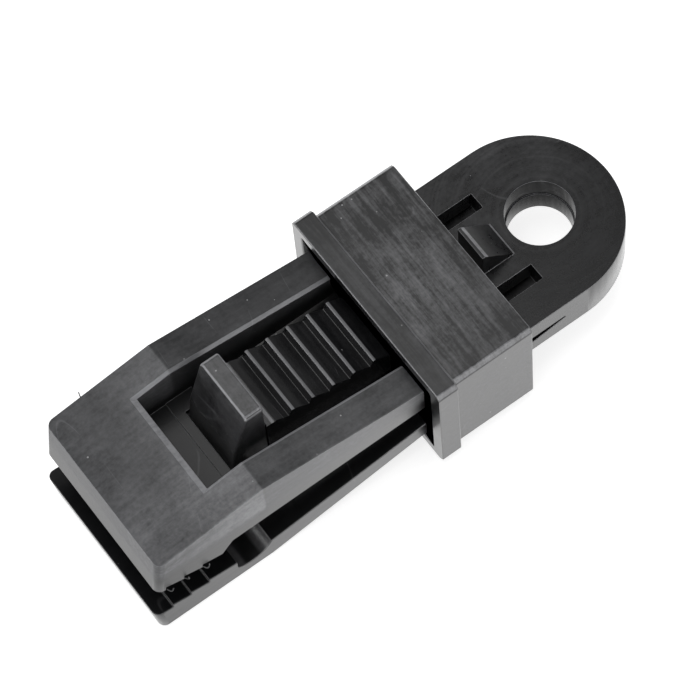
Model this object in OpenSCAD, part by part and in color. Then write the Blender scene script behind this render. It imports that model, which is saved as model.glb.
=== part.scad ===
// Sliding-lock tarp clip. Two toothed jaws sit on straps that spring out of one eye plate.
// A wedge collar slides towards the jaws and closes them, a ratchet tongue between the upper
// rails holds it there, and the thumb button on the tongue's free end lets it go again.
//
// Side profiles are drawn as [distance back from the lower jaw's tip, height over the mid-plane].
// The straps flex on the real clip. Here each one turns in a close round knuckle at its root.

/* [Overall] */
// Length from the lower jaw's tip to the end of the eye
overall_l = 91.1; // [90:0.1:93]
// Width across the jaws, the straps and the eye
clip_w = 28; // [26.5:0.1:30]
// Radius of the jaws' front corners, seen from above
tip_corner_r = 1.2; // [0.8:0.1:3]

/* [Eye and tail] */
// Thickness of the eye plate
eye_thick = 7.5; // [7.2:0.1:8]
// Diameter of the eye hole in its upper half
eye_hole_d = 10.4; // [9.8:0.1:11]
// Diameter of the eye hole below its parting step
eye_step_d = 9.9; // [8.5:0.1:10.2]
// Wall between the eye hole and the end of the clip
eye_end_wall = 6.9; // [5:0.1:8]
// Web between the eye hole and the end of the tail slots
root_web = 0.8; // [0.6:0.1:1.6]
// Height of the upper strap's underside over the mid-plane
strap_under = 0.1; // [0:0.05:0.4]
// Height of the side slot where it runs out at the eye
side_slot_end = 0.4; // [0.3:0.05:0.8]
// Width of the stop wedge behind the collar
stop_w = 6; // [4:0.1:9]
// Gap between the collar and the stop wedge with the collar as drawn
stop_gap = 1.5; // [0.8:0.1:2.6]
// Height of the stop wedge above the collar's bore
stop_bite = 0.5; // [0.3:0.1:1.4]
// Flat on the stop wedge's crest
stop_crest = 0.5; // [0.3:0.1:1]

/* [Collar] */
// Distance from the end of the eye to the collar's front
collar_x = 43.3; // [42.6:0.1:44]
// Length of the collar
collar_l = 17.2; // [16:0.1:18.4]
// Travel of the collar towards the jaws
travel = 20; // [18:0.1:20.5]
// Wall of the collar
collar_wall = 2; // [1.5:0.1:2.6]
// Side clearance between the clip and the collar's bore
side_clear = 0.9; // [0.4:0.05:1.4]
// Least clearance between a wedge arm and the collar's bore
run_clear = 0.15; // [0.1:0.05:0.5]
// Length of the raised band round the collar's front
band_l = 3.45; // [2.4:0.05:5]
// Height of the band over the collar's sides
band_side = 0.9; // [0.4:0.1:1.6]
// Height of the band over the collar's top and bottom
band_top = 0.5; // [0.3:0.1:1]
// Chamfer along the collar's outer edges
collar_edge = 0.7; // [0.3:0.1:1.2]
// Lead-in chamfer round the front of the collar's bore
lead_in = 0.6; // [0.3:0.1:1]
// Depth of the pawl under the collar's top wall
pawl_depth = 1; // [0.8:0.05:1.1]
// Length of the pawl's front ramp
pawl_ramp = 2.2; // [1.6:0.1:3]
// Width of the pawl
pawl_w = 9.6; // [6:0.1:10.4]

/* [Wedge arms] */
// Turn of the upper jaw from open, as drawn, to closed
close_angle = 3; // [2.8:0.05:3.2]
// Turn of the lower jaw from open, as drawn, to closed
lower_close = 3.8; // [3.6:0.05:4]
// Height of both wedge arms at the collar's front, off the mid-plane
rail_h = 7.1; // [6.9:0.05:7.4]
// Slope of the rails in front of the collar, in degrees
wedge_angle = 8.4; // [7.9:0.1:8.8]
// Slope of the lower arm in front of the collar, in degrees
lower_wedge = 9.8; // [9.2:0.1:10.2]
// Distance of the jaw hinges ahead of the collar's rear
hinge_in = 2.3; // [1.8:0.1:3.2]
// Radius of each knuckle beyond half its strap's thickness
knuckle_extra = 0.4; // [0.3:0.05:0.6]
// Radial clearance of the knuckles in their sockets
knuckle_clear = 0.05; // [0.03:0.01:0.1]

/* [Upper jaw] */
// Distance of the upper jaw's tip behind the lower jaw's tip
upper_tip_in = 1; // [0.6:0.1:1.4]
// Set-back of the upper jaw's tip from its lower to its upper edge
tip_lean = 1; // [0.4:0.1:1.4]
// Distance from the lower jaw's tip to the bend between the nose pad and the rails
bend_x = 20.1; // [18:0.1:21.5]
// Height of the nose pad at the tip, over the mid-plane
tip_h = 8.4; // [7.4:0.1:9]
// Distance from the lower jaw's tip to the pocket's front wall
pocket_x = 14.3; // [13.2:0.1:15]
// Width of the pocket between the rails
pocket_w = 17.2; // [16:0.1:18.5]
// Chamfer along the pocket's upper edges
pocket_edge = 0.5; // [0.2:0.1:0.8]
// Height of the ledge in the pocket over the mid-plane
ledge_h = 2.7; // [2.6:0.1:3.2]
// Length of the lower front strip of the ledge
ledge_strip = 4.1; // [2.5:0.1:5]
// Drop of the ledge's front strip
ledge_step = 0.25; // [0.1:0.05:0.4]
// Length of the ledge beside the button
ledge_wing = 3; // [2:0.1:4]
// Height of the upper arm's underside behind the pad, over the mid-plane
upper_under_front = 1.45; // [1.2:0.05:1.6]
// Height of the upper arm's underside at the collar's front, over the mid-plane
upper_under_rear = 1.7; // [1.2:0.05:1.9]
// Length of the ramp between the grip pad and the upper arm's underside
pad_ramp = 2; // [1:0.1:2.4]
// Distance from the lower jaw's tip to the end of the upper grip pad
upper_pad_l = 12.7; // [12:0.1:13.4]

/* [Lower jaw] */
// Thickness of the lower strap at its hinge
lower_strap_t = 1.8; // [1.6:0.1:2.2]
// Thickness of the lower arm where its wedge ends
lower_arm_t = 4.4; // [4:0.1:4.8]
// Thickness of the lower jaw's nose, up to the middle of its teeth
nose_t = 5.2; // [4.8:0.1:5.4]
// Drop of the lower jaw's nose below the collar
nose_drop = 1; // [0.6:0.1:1.6]
// Set-back of the lower jaw's tip from its upper to its lower edge
nose_lean = 0.6; // [0.2:0.1:1]
// Radius of the round hollow behind the lower teeth
hollow_r = 4; // [3.6:0.1:4.6]
// Skin left under the round hollow
hollow_skin = 2.3; // [1.6:0.1:2.8]
// Distance from the hollow's front wall to its deepest point
hollow_in = 2.4; // [1.6:0.1:3]

/* [Grip teeth] */
// Distance from the lower jaw's tip to its first tooth
tooth_x = 3; // [2.4:0.1:3.4]
// Pitch of the grip teeth
tooth_pitch = 3.15; // [2.8:0.05:3.3]
// Number of grip teeth on each jaw
tooth_count = 3; // [2:1:3]
// Height of the grip teeth
tooth_h = 0.8; // [0.6:0.1:1.1]
// Distance from the lower jaw's tip to the end of its grip pad
pad_l = 14.2; // [13.5:0.1:15]
// Gap left between the closed jaws
bite_gap = 0.2; // [0.15:0.05:0.6]

/* [Latch tongue] */
// Width of the latch tongue
tongue_w = 11.6; // [11:0.1:12.4]
// Distance from the lower jaw's tip to the first ratchet ridge
ridge_x = 30.9; // [30.4:0.1:31.4]
// Pitch of the ratchet ridges
ridge_pitch = 3.52; // [3.3:0.01:3.65]
// Largest number of ratchet ridges
ridge_count = 6; // [4:1:7]
// Depth of the valleys between the ridges
ridge_depth = 1.2; // [1:0.1:1.4]
// Flat on top of each ridge
ridge_flat = 0.45; // [0.2:0.05:0.8]
// Set-back of each ridge's crest from the foot of its steep face
ridge_lean = 0.6; // [0.3:0.1:0.8]
// Drop of the ridges below the rails
ridge_drop = 0.4; // [0.35:0.05:0.6]
// Length of the shoulder behind the button
shoulder_l = 1.6; // [1.2:0.1:2.2]
// Height of the tongue's underside at the button, over the mid-plane
tongue_under = 1.4; // [1.2:0.1:1.8]
// Turn of the tongue that seats the pawl in a valley
lift_angle = 1.2; // [0.8:0.1:1.4]
// Clearance between the pawl and the ridge it catches
pawl_clear = 0.15; // [0.1:0.05:0.3]

/* [Thumb button] */
// Distance from the lower jaw's tip to the button's front foot
button_x = 20.2; // [19.8:0.1:20.6]
// Length of the button from its front foot to its rear face
button_l = 6.3; // [5.8:0.1:6.6]
// Height of the button's top over the mid-plane
button_top = 15.2; // [14:0.1:15.8]
// Length of the button's top
button_top_l = 2.9; // [2.4:0.1:3.6]
// Height over the mid-plane where the button's front face starts to slope back
button_brow = 7; // [5:0.1:9]
// Set-back of the button's front face at that height
button_brow_in = 0.7; // [0.3:0.1:1]
// Width of the button
button_w = 11.2; // [10:0.1:11.6]
// Chamfer along the button's upper side edges
button_edge = 0.5; // [0.2:0.1:0.8]
// Gap between the ledge and the button's foot and sides
button_gap = 0.25; // [0.2:0.05:0.5]

/* [Hidden] */
$fn = 96;

// How far cutting shapes reach past what they cut
past = 1;
// Long enough to reach past the whole clip in any direction
reach = overall_l;

eye_half = eye_thick / 2;
eye_hole_x = overall_l - eye_end_wall - eye_hole_d / 2;
eye_round_x = overall_l - clip_w / 2;
root_x = eye_hole_x - eye_hole_d / 2 - root_web;
collar_front = overall_l - collar_x;
collar_rear = collar_front + collar_l;
hinge_x = collar_rear - hinge_in;
tail_rise = (rail_h - eye_half) / (hinge_x - collar_front);

// Distance of an arm's outer face from the mid-plane, where its wedge rises by the given slope
function face_at(x, rise) = x > hinge_x ? eye_half
    : x > collar_front ? eye_half + tail_rise * (hinge_x - x)
    : rail_h + rise * (collar_front - x);
wedge_rise = tan(wedge_angle);
lower_rise = tan(lower_wedge);
function arm_face(x) = face_at(x, wedge_rise);
function under_face(x) = face_at(x, lower_rise);
bend_h = arm_face(bend_x);

// The upper edge of the upper jaw's tip, and the slope of its nose pad behind it
tip_x = upper_tip_in + tip_lean;
nose_rise = (bend_h - tip_h) / (bend_x - tip_x);

// Strap sections at the hinges, and the knuckles that turn there
upper_half_t = (eye_half - strap_under) / 2;
upper_hinge = [hinge_x, strap_under + upper_half_t];
upper_knuckle_r = upper_half_t + knuckle_extra;
lower_half_t = lower_strap_t / 2;
lower_hinge = [hinge_x, lower_half_t - eye_half];
lower_knuckle_r = lower_half_t + knuckle_extra;

// A point of the side profile turned about a hinge, counter-clockwise with the tip to the left
function turned(p, c, a) = c + [
    (p.x - c.x) * cos(a) - (p.y - c.y) * sin(a),
    (p.x - c.x) * sin(a) + (p.y - c.y) * cos(a)];

// The collar's bore clears both wedge arms over its whole travel
function upper_reach(s) = turned([collar_front - s, arm_face(collar_front - s)], upper_hinge,
    close_angle * s / travel).y;
function lower_reach(s) = -turned([collar_front - s, -under_face(collar_front - s)], lower_hinge,
    -lower_close * s / travel).y;
travel_steps = 20;
bore_half = run_clear + max([for (i = [0:travel_steps])
    max(upper_reach(travel * i / travel_steps), lower_reach(travel * i / travel_steps))]);
bore_w = clip_w + 2 * side_clear;
body_w = bore_w + 2 * collar_wall;
body_half = bore_half + collar_wall;
band_w = body_w + 2 * band_side;

// Height of the mid-plane over the flat of the lower nose, and where that flat ends
rest_h = body_half + band_top + nose_drop;
flat_x = collar_front - (rest_h - rail_h) / lower_rise;
function underside(x) = min(rest_h, under_face(x));

// Lower teeth, then the upper ones that nest over them when the jaws are closed
tooth_low = -rest_h + nose_t - tooth_h / 2;
tooth_mid = tooth_low + tooth_h / 2;
function tooth_at(i) = tooth_x + i * tooth_pitch;
last_tooth = tooth_at(tooth_count - 1);
function last_slope(x) = tooth_low + tooth_h * (pad_l - x) / (pad_l - last_tooth);
function teeth_to(end) = concat([[tooth_x, tooth_low]],
    [for (i = [0:tooth_count - 1]) each [
        [tooth_at(i), tooth_low + tooth_h],
        i < tooth_count - 1 ? [tooth_at(i + 1), tooth_low] : [end, last_slope(end)]]]);
function mate(p) = turned(turned(p, lower_hinge, -lower_close) + [-bite_gap, bite_gap],
    upper_hinge, -close_angle);
upper_teeth = [for (p = teeth_to(upper_pad_l)) mate(p)];
upper_tip_h = mate([upper_tip_in, tooth_mid]).y;
pad_end = upper_teeth[len(upper_teeth) - 1];

// The height at x that still clears the collar's bore with the jaws closed and the tongue lifted
function lift_limit(x) = upper_hinge.y + (bore_half - run_clear - upper_hinge.y
    - (x - hinge_x) * sin(close_angle - lift_angle)) / cos(close_angle - lift_angle);

// Ratchet ridges run parallel to the rails, each with its steep face towards the jaws
function ridge_at(i) = ridge_x + i * ridge_pitch;
function ridge_top(x) = min(arm_face(x) - ridge_drop, lift_limit(x));
function ridge_crest(i) = [ridge_at(i), ridge_top(ridge_at(i))];
function ridge_foot(i) = ridge_crest(i) - [ridge_lean, ridge_depth];

// Only as many ridges as fit ahead of the knuckle
ridges = min(ridge_count, floor((hinge_x - upper_knuckle_r - ridge_x) / ridge_pitch));

button_rear = button_x + button_l;
shoulder_x = button_rear + shoulder_l;

// The pawl seats against the ridge that lies under the collar's front half at the end of its travel
catch_x = ridge_at(max(0, floor((collar_front + collar_l / 2 - travel - ridge_x) / ridge_pitch)));
catch_closed = turned([catch_x, ridge_top(catch_x)], upper_hinge, close_angle);
pawl_x = catch_closed.x - pawl_clear - ridge_lean / 2 + travel;

// Place a shape drawn from the tip and the mid-plane in the part's frame
module in_place() {
    translate([-overall_l / 2, 0, rest_h]) children();
}

// Give a side profile a width across the clip
module across(w) {
    rotate([90, 0, 0]) linear_extrude(w, center = true) children();
}

// Give a cross-section a length along the clip, from x on
module along(x, l) {
    translate([x, 0, 0]) rotate([90, 0, 90]) linear_extrude(l) children();
}

// Give an outline seen from above the full height of the clip
module plan() {
    translate([0, 0, -reach / 2]) linear_extrude(reach) children();
}

// A cross-section with chamfered corners
module chamfered(w, h, c) {
    polygon([
        [-w / 2 + c, -h / 2], [w / 2 - c, -h / 2], [w / 2, -h / 2 + c], [w / 2, h / 2 - c],
        [w / 2 - c, h / 2], [-w / 2 + c, h / 2], [-w / 2, h / 2 - c], [-w / 2, -h / 2 + c]]);
}

// What a strap loses behind its hinge, so that only its round knuckle is left there
module behind_knuckle(c, r) {
    difference() {
        translate([c.x, -reach / 2]) square([reach, reach]);
        translate(c) circle(r);
    }
}

// A jaw's outline seen from above, with its front corners rounded
module jaw_plan() {
    translate([tip_corner_r, -clip_w / 2]) square([reach, clip_w]);
    translate([0, tip_corner_r - clip_w / 2]) square([reach, clip_w - 2 * tip_corner_r]);
    for (side = [-1, 1])
        translate([tip_corner_r, side * (clip_w / 2 - tip_corner_r)]) circle(tip_corner_r);
}

// A jaw cut from its side profile, with its front face through the given tip at the given lean
module jaw(tip, lean) {
    intersection() {
        across(clip_w) children();
        translate([tip.x, 0, tip.y]) rotate([0, lean, 0]) plan() jaw_plan();
    }
}

// Side profile of the eye plate with the roots of all straps and the slot between them
module eye_profile() {
    difference() {
        polygon([
            [overall_l, -eye_half], [overall_l, eye_half], [hinge_x, eye_half], [hinge_x, strap_under],
            [root_x, strap_under], [root_x, strap_under - side_slot_end],
            [hinge_x, lower_strap_t - eye_half], [hinge_x, -eye_half]]);
        translate(upper_hinge) circle(upper_knuckle_r + knuckle_clear);
        translate(lower_hinge) circle(lower_knuckle_r + knuckle_clear);
    }
}

// The wedge that keeps the collar from sliding off over the eye
module stop_wedge() {
    stop_x = collar_rear + stop_gap;
    stop_foot = root_x - root_web;
    across(stop_w) polygon([
        [stop_x, upper_hinge.y], [stop_foot, upper_hinge.y], [stop_foot, eye_half],
        [stop_x + stop_crest, bore_half + stop_bite], [stop_x, bore_half + stop_bite]]);
}

module eye_plate() color("#2b2c2e") in_place() {
    slot_w = (pocket_w - tongue_w) / 2;
    slot_floor = strap_under - side_slot_end / 2;
    difference() {
        intersection() {
            across(clip_w) eye_profile();
            plan() {
                translate([0, -clip_w / 2]) square([eye_round_x, clip_w]);
                translate([eye_round_x, 0]) circle(clip_w / 2);
            }
        }
        translate([eye_hole_x, 0, 0]) cylinder(h = eye_half + past, d = eye_hole_d);
        translate([eye_hole_x, 0, -eye_half - past]) cylinder(h = eye_thick, d = eye_step_d);
        for (side = [-1, 1])
            translate([0, side * (tongue_w + slot_w) / 2 - slot_w / 2, slot_floor])
                cube([root_x, slot_w, reach]);
    }
    stop_wedge();
}

// Side profile of the upper jaw, its rails and their knuckles
module upper_profile() {
    difference() {
        polygon(concat(
            [[hinge_x + upper_knuckle_r, eye_half], [hinge_x, eye_half], [collar_front, rail_h],
                [bend_x, bend_h], [0, tip_h - nose_rise * tip_x], [0, upper_tip_h]],
            upper_teeth,
            [[pad_end.x + pad_ramp, upper_under_front], [collar_front, upper_under_rear],
                [hinge_x, strap_under], [hinge_x + upper_knuckle_r, strap_under]]));
        behind_knuckle(upper_hinge, upper_knuckle_r);
    }
}

// The pocket that the latch tongue moves in, open below behind its thin ledge and under the button
module pocket() {
    ledge_end = button_x - button_gap;
    step_x = pocket_x + ledge_strip;
    notch_w = button_w + 2 * button_gap;
    translate([ledge_end, -notch_w / 2, -reach / 2]) cube([reach, notch_w, reach]);
    translate([0, -pocket_w / 2, 0]) {
        translate([ledge_end + ledge_wing, 0, -reach / 2]) cube([reach, pocket_w, reach]);
        translate([step_x, 0, ledge_h]) cube([reach, pocket_w, reach]);
        translate([pocket_x, 0, ledge_h - ledge_step]) cube([ledge_strip, pocket_w, reach]);
    }
}

// Chamfers that slope down into the pocket from both sides
module pocket_sides() {
    mouth = pocket_w / 2 + pocket_edge;
    depth = pocket_edge + past;
    polygon([[-mouth - past, past], [depth - mouth, -depth], [mouth - depth, -depth], [mouth + past, past]]);
}

// The mitred flare round the pocket's mouth, on the nose pad and along both rails
module pocket_flare() {
    front_x = pocket_x - 2 * pocket_edge;
    front_h = tip_h + nose_rise * (front_x - tip_x);
    rise = bend_h - front_h + past;
    depth = pocket_edge + past;
    intersection() {
        across(reach) polygon([
            [front_x - 2 * rise, front_h + rise], [front_x + 2 * depth, front_h - depth],
            [bend_x + past, front_h - depth], [bend_x + past, front_h + rise]]);
        translate([bend_x, 0, bend_h]) rotate([0, -atan(nose_rise), 0])
            along(-reach, reach) pocket_sides();
    }
    translate([bend_x, 0, bend_h]) rotate([0, wedge_angle, 0]) along(0, reach) pocket_sides();
}

module upper_jaw() color("#2f3032") in_place() {
    difference() {
        jaw([upper_tip_in, upper_tip_h], atan(tip_lean / (tip_h - upper_tip_h))) upper_profile();
        pocket();
        pocket_flare();
    }
}

// Side profile of the lower jaw, with its flat nose, its teeth and the hollow behind them
module lower_profile() {
    hollow_x = pad_l + hollow_in;
    hollow_h = hollow_skin + hollow_r;
    hollow_end = hollow_x + sqrt(pow(hollow_r, 2) - pow(hollow_h - lower_arm_t, 2));
    arm_top = lower_arm_t - rest_h;
    difference() {
        polygon(concat(
            [[hinge_x + lower_knuckle_r, -eye_half], [hinge_x, -eye_half], [collar_front, -rail_h],
                [flat_x, -rest_h], [-past, -rest_h], [-past, tooth_mid], [0, tooth_mid]],
            teeth_to(pad_l),
            [[pad_l, arm_top], [hollow_end, arm_top],
                [hinge_x, lower_strap_t - eye_half], [hinge_x + lower_knuckle_r, lower_strap_t - eye_half]]));
        behind_knuckle(lower_hinge, lower_knuckle_r);
        intersection() {
            translate([hollow_x, hollow_h - underside(hollow_x)]) circle(hollow_r);
            translate([pad_l, -reach / 2]) square([reach, reach]);
        }
    }
}

module lower_jaw() color("#2a2b2d") in_place() {
    jaw([0, tooth_mid], -atan(nose_lean / (rest_h + tooth_mid))) lower_profile();
}

// Side profile of the latch tongue with its ratchet ridges
module tongue_profile() {
    difference() {
        polygon(concat(
            [[button_rear, tongue_under], [button_rear, ridge_top(button_rear)],
                [shoulder_x, ridge_top(shoulder_x)]],
            [for (i = [0:ridges - 1]) each [
                ridge_foot(i), ridge_crest(i),
                [ridge_at(i) + ridge_flat, ridge_top(ridge_at(i) + ridge_flat)]]],
            [ridge_foot(ridges), ridge_crest(ridges)],
            [[hinge_x, eye_half], [hinge_x + upper_knuckle_r, eye_half],
                [hinge_x + upper_knuckle_r, strap_under], [hinge_x, strap_under]]));
        behind_knuckle(upper_hinge, upper_knuckle_r);
    }
}

module latch_tongue() color("#303133") in_place() {
    across(tongue_w) tongue_profile();
}

module thumb_button() color("#37383a") in_place() {
    button_h = button_top - tongue_under;
    intersection() {
        across(button_w) polygon([
            [button_x, tongue_under], [button_rear, tongue_under], [button_rear, button_top],
            [button_rear - button_top_l, button_top],
            [button_x + button_brow_in, button_brow]]);
        along(button_x, button_l) translate([0, tongue_under + button_h / 2])
            chamfered(button_w, button_h, button_edge);
    }
}

// The mitred flare round the front of the collar's bore
module collar_lead_in() {
    mouth_h = bore_half + lead_in + past;
    mouth_w = bore_w / 2 + lead_in + past;
    front = collar_front - past;
    neck = collar_front + lead_in;
    intersection() {
        across(reach) polygon([
            [front, -mouth_h], [neck, -bore_half], [neck, bore_half], [front, mouth_h]]);
        plan() polygon([
            [front, -mouth_w], [neck, -bore_w / 2], [neck, bore_w / 2], [front, mouth_w]]);
    }
}

module collar() color("#333436") in_place() {
    difference() {
        union() {
            along(collar_front, collar_l) chamfered(body_w, 2 * body_half, collar_edge);
            along(collar_front, band_l) chamfered(band_w, 2 * (body_half + band_top), collar_edge);
        }
        along(collar_front - past, collar_l + 2 * past) square([bore_w, 2 * bore_half], center = true);
        collar_lead_in();
    }
    across(pawl_w) polygon([
        [pawl_x, bore_half - pawl_depth], [pawl_x, bore_half + collar_wall / 2],
        [pawl_x - pawl_ramp, bore_half + collar_wall / 2], [pawl_x - pawl_ramp, bore_half]]);
}

eye_plate();
upper_jaw();
lower_jaw();
latch_tongue();
thumb_button();
collar();
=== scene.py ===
"""Looks of a sliding-lock tarp clip in black moulded plastic, on a white studio table."""

import math

import bpy
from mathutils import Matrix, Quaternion, Vector


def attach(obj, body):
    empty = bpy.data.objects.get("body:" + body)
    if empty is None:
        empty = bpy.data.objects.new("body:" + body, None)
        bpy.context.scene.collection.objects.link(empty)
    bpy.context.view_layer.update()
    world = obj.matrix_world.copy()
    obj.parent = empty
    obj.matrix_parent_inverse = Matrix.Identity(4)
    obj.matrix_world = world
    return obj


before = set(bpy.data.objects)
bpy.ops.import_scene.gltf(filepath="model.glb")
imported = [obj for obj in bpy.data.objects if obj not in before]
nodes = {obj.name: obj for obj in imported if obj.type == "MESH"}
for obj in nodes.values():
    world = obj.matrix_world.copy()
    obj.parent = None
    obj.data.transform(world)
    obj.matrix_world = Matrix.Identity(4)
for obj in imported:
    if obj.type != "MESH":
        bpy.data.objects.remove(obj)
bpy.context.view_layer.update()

MM = 0.001
X, Y, Z = 0, 1, 2

# Camera, as the clip was photographed: from above its right side, with the jaws to the lower left
PICTURE_PX = 700
FOCAL_PX = 4074
SENSOR_MM = 36
CAMERA_NEAR = 0.01
CAMERA_AIM = Vector((-0.046, 1.296, 10.0)) * MM
CAMERA_DISTANCE = 589.65 * MM
CAMERA_HEADING = math.radians(59.85)
CAMERA_PITCH = math.radians(64.73)
CAMERA_ROLL = math.radians(-6.54)

# Edge rounding left by the mould, by node
EDGE_ROUND = {
    "eye_plate": 0.25 * MM,
    "upper_jaw": 0.3 * MM,
    "lower_jaw": 0.2 * MM,
    "latch_tongue": 0.14 * MM,
    "thumb_button": 0.4 * MM,
    "collar": 0.25 * MM,
}
ROUND_STEPS = 4
ROUND_FROM_ANGLE = math.radians(28)
FLAT_WITHIN = math.radians(0.6)
SAME_POINT = 1e-6

# Plastic
BLACK = (0.0055, 0.0056, 0.0062, 1)
# The grey that scuffing is mixed towards, which also carries painted light on lit sides, edges, crests and a
# sheen spot
SCUFF_AND_LIGHT_GREY = (0.3, 0.302, 0.315, 1)
DUST = (0.5, 0.5, 0.51, 1)
PLASTIC_IOR = 1.5
FULL_SCUFF_AND_LIGHT = 2.0
HAIR_GAIN = 0.2
SKIN_DEPTH = 0.03 * MM
EVEN = (1, 1, 1)
ALONG_CLIP = (0.09, 1, 1)
ACROSS_CLIP = (1, 0.08, 1)
HAIR_STRETCH = (1, 0.35, 1)
HAIR_TURN = (0, 0, 0.6)

# Flow lines round the eye's hole, and the shine of its wall and of the skin outside it
FLOW_WAVE = 0.4 * MM
FLOW_LINES = 900.0
FLOW_GAIN = 0.35
WALL_FADE = (0.05 * MM, 0.2 * MM)
WALL_SHINE = 0.06
SKIN_SHINE = 0.4

# Studio: the table's glow to the camera and in mirrored light, and the tent of the same light round it
WHITE = (1, 1, 1, 1)
TABLE_SIZE = 6.0
TABLE_COLOUR = (0.86, 0.86, 0.86, 1)
TABLE_SEEN = 0.72
TABLE_MIRRORED = 1.4
TENT_TOWARDS = (-0.8, -0.6)
TENT_EDGE = (0.1, 0.3)
TENT_TOP = (0.5, 0.7)
TENT_LEVEL = 4.5
ROOM_MIRRORED = 0.3
ROOM_FILL = 0.45


def look_along(heading, pitch):
    """The direction of a view that heads round from +X towards +Y and looks down by pitch."""
    level = math.cos(pitch)
    return Vector((level * math.cos(heading), level * math.sin(heading), -math.sin(pitch)))


def add_camera():
    data = bpy.data.cameras.new("photo_camera")
    data.sensor_width = SENSOR_MM
    data.lens = FOCAL_PX / PICTURE_PX * SENSOR_MM
    data.clip_start = CAMERA_NEAR
    camera = bpy.data.objects.new("photo_camera", data)
    bpy.context.scene.collection.objects.link(camera)
    forward = look_along(CAMERA_HEADING, CAMERA_PITCH)
    camera.location = CAMERA_AIM - forward * CAMERA_DISTANCE
    camera.rotation_mode = "QUATERNION"
    level_view = forward.to_track_quat("-Z", "Y")
    camera.rotation_quaternion = level_view @ Quaternion((0, 0, 1), CAMERA_ROLL)
    bpy.context.scene.camera = camera


class Shader:
    """A node tree with short ways to add nodes and join them."""

    def __init__(self, tree):
        self.tree = tree

    def add(self, kind, **settings):
        node = self.tree.nodes.new(kind)
        for name, value in settings.items():
            setattr(node, name, value)
        return node

    def join(self, source, target):
        self.tree.links.new(source, target)

    def give(self, socket, value):
        """Link a socket to another one, or set it to a constant."""
        if isinstance(value, bpy.types.NodeSocket):
            self.join(value, socket)
        else:
            socket.default_value = value

    def feed(self, node, **inputs):
        """Set or link a node's inputs by name, with _ for a space."""
        for name, value in inputs.items():
            self.give(node.inputs[name.replace("_", " ")], value)
        return node

    def math(self, operation, first, second=0.0):
        node = self.add("ShaderNodeMath", operation=operation)
        self.give(node.inputs[0], first)
        self.give(node.inputs[1], second)
        return node.outputs[0]

    def vector(self, operation, first, second):
        node = self.add("ShaderNodeVectorMath", operation=operation)
        self.give(node.inputs[0], first)
        self.give(node.inputs[1], second)
        return node.outputs[0]

    def mix_colour(self, share, first, second):
        node = self.add("ShaderNodeMix", data_type="RGBA")
        colour_inputs = [socket for socket in node.inputs if socket.type == "RGBA"]
        self.give(node.inputs[0], share)
        self.give(colour_inputs[0], first)
        self.give(colour_inputs[1], second)
        return next(socket for socket in node.outputs if socket.type == "RGBA")

    def span(self, value, low, high, to_low=0.0, to_high=1.0):
        """Value spread from low..high onto to_low..to_high and held there."""
        node = self.add("ShaderNodeMapRange", clamp=True)
        self.feed(node, Value=value, From_Min=low, From_Max=high, To_Min=to_low, To_Max=to_high)
        return node.outputs[0]

    def place(self):
        """Where a point lies on the part, in metres."""
        return self.add("ShaderNodeTexCoord").outputs["Object"]

    def split(self, vector):
        """The three parts of a vector."""
        node = self.add("ShaderNodeSeparateXYZ")
        self.join(vector, node.inputs[0])
        return node.outputs

    def normal_up(self):
        """How far a face looks up: 1 for level, 0 for upright."""
        return self.split(self.add("ShaderNodeNewGeometry").outputs["Normal"])[Z]

    def distance(self, axes, point):
        """Distance in metres from a point of the part, along the given axes only."""
        kept = self.vector("MULTIPLY", self.vector("SUBTRACT", self.place(), point), axes)
        length = self.add("ShaderNodeVectorMath", operation="LENGTH")
        self.join(kept, length.inputs[0])
        return length.outputs["Value"]

    def stretched(self, scale, turn=(0, 0, 0)):
        """Object coordinates in metres, turned and stretched for a streaky texture."""
        mapping = self.add("ShaderNodeMapping")
        self.feed(mapping, Vector=self.place(), Rotation=turn, Scale=scale)
        return mapping.outputs[0]

    def noise(self, vector, scale, detail=3.0, rough=0.55):
        node = self.add("ShaderNodeTexNoise")
        self.feed(node, Vector=vector, Scale=scale, Detail=detail, Roughness=rough)
        return node.outputs[0]

    def group(self, tree):
        return self.add("ShaderNodeGroup", node_tree=tree)


def new_group(name, inputs, output):
    """An empty node group, with its Shader and its input and output nodes."""
    tree = bpy.data.node_groups.new(name, "ShaderNodeTree")
    for socket, kind, value in inputs:
        made = tree.interface.new_socket(socket, in_out="INPUT", socket_type=kind)
        made.default_value = value
    tree.interface.new_socket(output, in_out="OUTPUT", socket_type="NodeSocketFloat")
    s = Shader(tree)
    return tree, s, s.add("NodeGroupInput"), s.add("NodeGroupOutput")


def mottle_group():
    """Cloudy haze of handled plastic, in patches a few millimetres across."""
    tree, s, given, out = new_group("mottle", [("Patches per metre", "NodeSocketFloat", 170.0)], "Haze")
    finer = 9.0
    broad_share = 0.6
    place = s.stretched(EVEN)
    broad = s.noise(place, given.outputs[0], detail=4.0, rough=0.6)
    fine = s.noise(place, s.math("MULTIPLY", given.outputs[0], finer), detail=3.0, rough=0.65)
    both = s.math("ADD", s.math("MULTIPLY", broad, broad_share), s.math("MULTIPLY", fine, 1 - broad_share))
    s.join(s.span(both, 0.32, 0.68), out.inputs[0])
    return tree


def grain_group():
    """Fine uneven skin of the mould."""
    tree, s, given, out = new_group("grain", [("Grains per metre", "NodeSocketFloat", 3500.0)], "Height")
    s.join(s.noise(s.stretched(EVEN), given.outputs[0], detail=2.0, rough=0.6), out.inputs[0])
    return tree


def streak_group():
    """Long fine streaks, along the direction that the coordinates are stretched in."""
    tree, s, given, out = new_group(
        "streaks",
        [("Vector", "NodeSocketVector", (0, 0, 0)), ("Streaks per metre", "NodeSocketFloat", 1100.0)],
        "Streak",
    )
    field = s.noise(given.outputs[0], given.outputs[1], detail=5.0, rough=0.7)
    s.join(s.span(field, 0.3, 0.7), out.inputs[0])
    return tree


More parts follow.
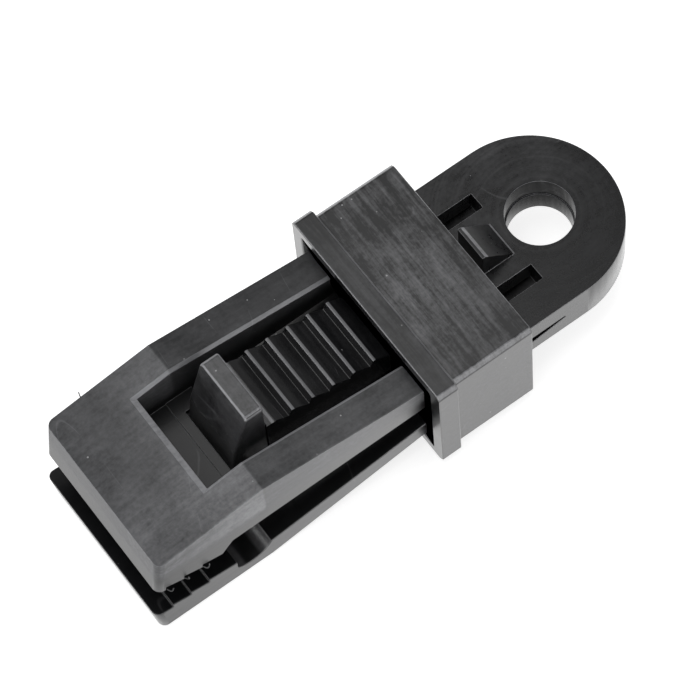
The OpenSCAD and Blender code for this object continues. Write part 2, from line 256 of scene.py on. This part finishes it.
def hair_group():
    """A few thin curved scratches, in patches."""
    tree, s, given, out = new_group(
        "hair_scratches",
        [("Vector", "NodeSocketVector", (0, 0, 0)), ("Lines per metre", "NodeSocketFloat", 90.0)],
        "Scratch",
    )
    patches_per_metre = 140.0
    field = s.noise(given.outputs[0], given.outputs[1], detail=1.0, rough=0.4)
    off_line = s.math("ABSOLUTE", s.math("SUBTRACT", field, 0.5))
    line = s.span(off_line, 0.0015, 0.0045, to_low=1.0, to_high=0.0)
    patch = s.span(s.noise(s.stretched(EVEN), patches_per_metre, detail=2.0), 0.52, 0.6)
    s.join(s.math("MULTIPLY", line, patch), out.inputs[0])
    return tree


def speck_group():
    """Sparse dust specks of different sizes, up to a third of a millimetre across."""
    tree, s, given, out = new_group(
        "specks",
        [("Cells per metre", "NodeSocketFloat", 620.0), ("Share", "NodeSocketFloat", 0.1)],
        "Speck",
    )
    cells = s.add("ShaderNodeTexVoronoi", feature="F1")
    s.feed(cells, Vector=s.stretched(EVEN), Scale=given.outputs[0])
    chance = s.add("ShaderNodeSeparateColor")
    s.join(cells.outputs["Color"], chance.inputs[0])
    size = s.span(chance.outputs[1], 0.0, 1.0, to_low=0.04, to_high=0.11)
    near = s.math("LESS_THAN", cells.outputs["Distance"], size)
    chosen = s.math("LESS_THAN", chance.outputs[0], given.outputs[1])
    shade = s.span(chance.outputs[2], 0.0, 1.0, to_low=0.2, to_high=0.8)
    s.join(s.math("MULTIPLY", s.math("MULTIPLY", near, chosen), shade), out.inputs[0])
    return tree


def edge_group():
    """Rounded and chamfered upper edges, lightened partly as handling wear and partly as painted highlight:
    neither level nor upright.
    """
    tree, s, _, out = new_group("rubbed_and_highlit_edges", [], "Edge")
    up = s.normal_up()
    tilted = s.span(up, 0.92, 0.96, to_low=1.0, to_high=0.0)
    upward = s.span(up, 0.35, 0.6)
    s.join(s.math("MULTIPLY", tilted, upward), out.inputs[0])
    return tree


MOTTLE = mottle_group()
GRAIN = grain_group()
STREAKS = streak_group()
HAIRS = hair_group()
SPECKS = speck_group()
EDGES = edge_group()


def zone(axis, start, end, at_start, at_end):
    """A change between two places along an axis, which are given in millimetres."""
    return axis, start * MM, end * MM, at_start, at_end


def across_zone(s, axis, start, end, at_start, at_end):
    """The value of a zone at each point of the part."""
    return s.span(s.split(s.place())[axis], start, end, at_start, at_end)


def crest_mask(s, start, pitch, width):
    """The upward faces at the crests of cross ridges along X."""
    turns = s.math("DIVIDE", s.math("SUBTRACT", s.split(s.place())[X], start), pitch)
    soft_from = 0.7
    on_crest = s.span(s.math("FRACT", turns), soft_from * width / pitch, width / pitch, 1.0, 0.0)
    return s.math("MULTIPLY", on_crest, s.span(s.normal_up(), 0.3, 0.5))


def outside_mask(s, axis, low, high):
    """One outside the zone between two places along an axis, none inside it."""
    along = s.split(s.place())[axis]
    return s.math("ADD", s.math("LESS_THAN", along, low), s.math("GREATER_THAN", along, high))


def black_plastic(name, stretch, scuff, mottled, streaked, edge_wear_and_highlight, specked, rough, bumped, scuff_and_light_zones=(),
                  patches=(), bore=None, crests=None, plain_edged=None, gloss=None):
    """Black moulded plastic, scuffed grey where it is handled, with streaks, scratches and dust, and with
    painted light on lit side faces, edges, crests and a sheen spot.

    Each of the scuff zones scales the scuffing along an axis; some thin it with height or along the part,
    and some paint light on the lit −y side faces. Each row of patches is (place, radius, gain): a lighter or
    darker round spot; on the collar it is a painted sheen. bore is (place, radius): the matt wall of a hole
    along Z, with flow lines in the skin round it. crests is (start, pitch, width) of cross ridges along X,
    whose crests are lightened as rubbing and as painted highlight. The plain-edged zone is (axis, from, to):
    its edges keep the plain skin, without rubbing or painted highlight. gloss is a zone along which the
    shine changes.
    """
    material = bpy.data.materials.new(name)
    material.use_nodes = True
    tree = material.node_tree
    tree.nodes.clear()
    s = Shader(tree)
    out = s.add("ShaderNodeOutputMaterial")
    skin = s.add("ShaderNodeBsdfPrincipled")
    s.feed(skin, IOR=PLASTIC_IOR)
    mottle = s.group(MOTTLE).outputs[0]
    streak = s.feed(s.group(STREAKS), Vector=s.stretched(stretch)).outputs[0]
    hair = s.feed(s.group(HAIRS), Vector=s.stretched(HAIR_STRETCH, HAIR_TURN)).outputs[0]
    speck = s.feed(s.group(SPECKS), Share=specked).outputs[0]
    grain = s.group(GRAIN).outputs[0]

    # How scuffed each point is, with painted light on lit side faces and painted sheen spots added in
    uneven = s.math("MULTIPLY", s.math("SUBTRACT", mottle, 0.5), mottled)
    lined = s.math("MULTIPLY", s.math("SUBTRACT", streak, 0.5), streaked)
    level = s.math("ADD", s.math("ADD", uneven, lined), scuff)
    for place, radius, gain in patches:
        spot = s.span(s.distance((1, 1, 1), place), 0.0, radius, to_low=gain, to_high=0.0)
        level = s.math("ADD", level, s.math("MULTIPLY", spot, s.math("ADD", mottle, streak)))
    if bore:
        centre, radius = bore
        away = s.distance((1, 1, 0), centre)
        rings = s.add("ShaderNodeCombineXYZ")
        s.join(s.math("ADD", away, s.math("MULTIPLY", mottle, FLOW_WAVE)), rings.inputs[0])
        flow = s.math("SUBTRACT", s.noise(rings.outputs[0], FLOW_LINES, detail=4.0, rough=0.7), 0.5)
        level = s.math("ADD", level, s.math("MULTIPLY", flow, FLOW_GAIN))
        wall_end, skin_start = (radius + fade for fade in WALL_FADE)
        s.join(s.span(away, wall_end, skin_start, WALL_SHINE, SKIN_SHINE), skin.inputs["Specular IOR Level"])
    for row in scuff_and_light_zones:
        level = s.math("MULTIPLY", level, across_zone(s, *row))
    if gloss:
        s.join(across_zone(s, *gloss), skin.inputs["Specular IOR Level"])

    # Edges and crests lightened, partly as rubbing and partly as painted highlight, then scratches and dust
    # on top of it
    edge = crest_mask(s, *crests) if crests else s.group(EDGES).outputs[0]
    if plain_edged:
        edge = s.math("MULTIPLY", edge, outside_mask(s, *plain_edged))
    uneven_rub_and_light = s.math("MULTIPLY", s.span(streak, 0.0, 1.0, to_low=0.5, to_high=1.0), edge_wear_and_highlight)
    rubbed_and_lit = s.math("ADD", level, s.math("MULTIPLY", edge, uneven_rub_and_light))
    scratched = s.math("ADD", rubbed_and_lit, s.math("MULTIPLY", hair, HAIR_GAIN))
    tone = s.mix_colour(s.span(scratched, 0.0, FULL_SCUFF_AND_LIGHT), BLACK, SCUFF_AND_LIGHT_GREY)
    s.join(s.mix_colour(speck, tone, DUST), skin.inputs["Base Color"])

    # Scuffed skin is rougher, and the grain and the streaks stand out a little
    s.join(s.span(level, 0.0, 0.7, rough - 0.06, rough + 0.1), skin.inputs["Roughness"])
    rise = s.math("ADD", s.math("MULTIPLY", grain, 0.4), s.math("MULTIPLY", streak, 0.6))
    bump = s.feed(s.add("ShaderNodeBump"), Strength=bumped, Distance=SKIN_DEPTH, Height=rise)
    s.join(bump.outputs[0], skin.inputs["Normal"])
    s.join(skin.outputs[0], out.inputs[0])
    return material


FINISH = {
    "upper_jaw": black_plastic(
        "upper_jaw_plastic", stretch=ALONG_CLIP, scuff=0.68, mottled=0.7, streaked=0.36,
        edge_wear_and_highlight=1.3, specked=0.14, rough=0.36, bumped=0.28,
        scuff_and_light_zones=(
            zone(Z, 15.5, 17.5, 0.02, 1.0),
            zone(Y, -12, 12, 1.25, 0.75),
            zone(X, -25.6, -25.2, 1.0, 0.42),
            # Painted light: the −y side face, which the light falls on, gets 1.7 times the scuffing grey
            zone(Y, -13.9, -13.7, 1.7, 1.0),
            zone(X, -36, -31.5, 0.85, 1.1),
        ),
        patches=((Vector((-39, 1, 20.5)) * MM, 10 * MM, -0.12),),
        gloss=zone(X, -46, -8, 0.1, 0.55)),
    "lower_jaw": black_plastic(
        "lower_jaw_plastic", stretch=ALONG_CLIP, scuff=0.14, mottled=0.1, streaked=0.25,
        edge_wear_and_highlight=0.5, specked=0.08, rough=0.36, bumped=0.25,
        # Painted light: only the lit −y side face keeps the full scuffing grey; elsewhere a tenth of it
        scuff_and_light_zones=(zone(Y, -13.9, -13.7, 1.0, 0.1),),
        gloss=zone(X, -46, -8, 0.2, 0.55)),
    "latch_tongue": black_plastic(
        "tongue_plastic", stretch=ACROSS_CLIP, scuff=0.03, mottled=0.08, streaked=0.08,
        edge_wear_and_highlight=1.3, specked=0.1, rough=0.28, bumped=0.12,
        crests=(-14.7 * MM, 3.52 * MM, 0.55 * MM)),
    "thumb_button": black_plastic(
        "button_plastic", stretch=ACROSS_CLIP, scuff=0.34, mottled=0.6, streaked=0.3,
        edge_wear_and_highlight=1.5, specked=0.1, rough=0.34, bumped=0.25,
        scuff_and_light_zones=(zone(Z, 24.5, 26.5, 0.55, 1.0), zone(Y, -6, 6, 1.2, 0.8))),
    "eye_plate": black_plastic(
        "eye_plastic", stretch=ALONG_CLIP, scuff=0.06, mottled=0.16, streaked=0.06,
        edge_wear_and_highlight=1.8, specked=0.12, rough=0.33, bumped=0.25,
        scuff_and_light_zones=(zone(Y, -12, 12, 0.3, 1.5),),
        bore=(Vector((33.45, 0, 0)) * MM, 5.2 * MM),
        plain_edged=(Z, 15.9 * MM, 20.2 * MM)),
    "collar": black_plastic(
        "collar_plastic", stretch=ACROSS_CLIP, scuff=0.13, mottled=0.6, streaked=0.8,
        edge_wear_and_highlight=1.3, specked=0.2, rough=0.35, bumped=0.22,
        scuff_and_light_zones=(zone(X, 5.5, 6, 0.35, 1.0),),
        # Painted sheen: a lighter round spot on the collar's top
        patches=((Vector((8.5, -2, 22.3)) * MM, 13 * MM, 0.42),)),
}


def dress(name, material):
    """Give a node its material and the rounded edges of a moulding."""
    piece = nodes[name]
    piece.data.materials.clear()
    piece.data.materials.append(material)
    weld = piece.modifiers.new("weld", "WELD")
    weld.merge_threshold = SAME_POINT
    flat = piece.modifiers.new("flat_faces", "DECIMATE")
    flat.decimate_type = "DISSOLVE"
    flat.angle_limit = FLAT_WITHIN
    bevel = piece.modifiers.new("mould_round", "BEVEL")
    bevel.width = EDGE_ROUND[name]
    bevel.segments = ROUND_STEPS
    bevel.limit_method = "ANGLE"
    bevel.angle_limit = ROUND_FROM_ANGLE
    bevel.harden_normals = True
    bevel.miter_outer = "MITER_ARC"


for name in nodes:
    dress(name, FINISH[name])


# Thin curls and burrs of moulding flash on the upper jaw: points of each in millimetres
FLASH_THICK = 0.09 * MM
FLASH = {
    "tooth_flash_front": (
        (-42.9, -14.0, 12.3), (-42.7, -14.35, 11.9), (-42.3, -14.5, 11.7), (-42.0, -14.3, 11.9)),
    "tooth_flash_middle": (
        (-39.9, -14.0, 12.0), (-39.6, -14.4, 11.8), (-39.3, -14.5, 12.1), (-39.5, -14.3, 12.4)),
    "tooth_flash_rear": (
        (-36.7, -14.0, 11.6), (-36.5, -14.4, 11.3), (-36.0, -14.5, 11.3), (-35.8, -14.2, 11.7)),
    "nose_burr": ((-37.3, 13.95, 20.8), (-37.35, 14.3, 21.1), (-37.2, 14.6, 21.5)),
}


def add_flash(name, points):
    curve = bpy.data.curves.new(name, "CURVE")
    curve.dimensions = "3D"
    curve.bevel_depth = FLASH_THICK
    curve.bevel_resolution = 2
    line = curve.splines.new("NURBS")
    line.points.add(len(points) - 1)
    for knot, place in zip(line.points, points):
        knot.co = (*(Vector(place) * MM), 1)
    line.use_endpoint_u = True
    line.order_u = 3
    curl = bpy.data.objects.new(name, curve)
    bpy.context.scene.collection.objects.link(curl)
    curl.data.materials.append(FINISH["lower_jaw"])
    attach(curl, "upper_jaw")


for name, points in FLASH.items():
    add_flash(name, points)


# The studio
def add_floor():
    bpy.ops.mesh.primitive_plane_add(size=TABLE_SIZE)
    floor = bpy.context.object
    floor.name = "studio_table"
    material = bpy.data.materials.new("white_table")
    material.use_nodes = True
    tree = material.node_tree
    tree.nodes.clear()
    s = Shader(tree)
    out = s.add("ShaderNodeOutputMaterial")
    paper = s.feed(s.add("ShaderNodeBsdfDiffuse"), Color=TABLE_COLOUR)
    rays = s.add("ShaderNodeLightPath")
    seen = s.math("MULTIPLY", rays.outputs["Is Camera Ray"], TABLE_SEEN)
    mirrored = s.math("MULTIPLY", rays.outputs["Is Glossy Ray"], TABLE_MIRRORED)
    glow = s.feed(s.add("ShaderNodeEmission"), Color=WHITE, Strength=s.math("ADD", seen, mirrored))
    both = s.add("ShaderNodeAddShader")
    s.join(paper.outputs[0], both.inputs[0])
    s.join(glow.outputs[0], both.inputs[1])
    s.join(both.outputs[0], out.inputs[0])
    floor.data.materials.append(material)


def add_softbox(name, place, aim, size, power):
    data = bpy.data.lights.new(name, "AREA")
    data.shape = "RECTANGLE"
    data.size, data.size_y = size
    data.energy = power
    lamp = bpy.data.objects.new(name, data)
    bpy.context.scene.collection.objects.link(lamp)
    lamp.location = place
    lamp.rotation_mode = "QUATERNION"
    lamp.rotation_quaternion = (Vector(aim) - Vector(place)).to_track_quat("-Z", "Y")


def add_world():
    """A white room, whose mirror image in the plastic is a tent: bright low down on the jaws' near side."""
    world = bpy.data.worlds.new("studio_room")
    bpy.context.scene.world = world
    world.use_nodes = True
    tree = world.node_tree
    tree.nodes.clear()
    s = Shader(tree)
    out = s.add("ShaderNodeOutputWorld")
    rays = s.add("ShaderNodeLightPath")
    way = s.split(s.add("ShaderNodeTexCoord").outputs["Generated"])
    along_x = s.math("MULTIPLY", way[X], TENT_TOWARDS[X])
    along_y = s.math("MULTIPLY", way[Y], TENT_TOWARDS[Y])
    lit_side = s.span(s.math("ADD", along_x, along_y), *TENT_EDGE)
    low_down = s.span(way[Z], *TENT_TOP, to_low=1.0, to_high=0.0)
    tent = s.math("MULTIPLY", s.math("MULTIPLY", lit_side, low_down), TENT_LEVEL)
    glossy = rays.outputs["Is Glossy Ray"]
    mirrored = s.math("MULTIPLY", s.math("ADD", tent, ROOM_MIRRORED), glossy)
    plain = s.math("MULTIPLY", s.math("SUBTRACT", 1.0, glossy), ROOM_FILL)
    level = s.math("MAXIMUM", rays.outputs["Is Camera Ray"], s.math("ADD", mirrored, plain))
    room = s.feed(s.add("ShaderNodeBackground"), Color=WHITE, Strength=level)
    s.join(room.outputs[0], out.inputs[0])


add_camera()
add_floor()
add_softbox("overhead_softbox", place=(-0.05, 0.12, 0.62), aim=(0, 0, 0.01), size=(0.45, 0.45), power=1.5)
add_world()
bpy.context.scene.view_settings.view_transform = "Standard"
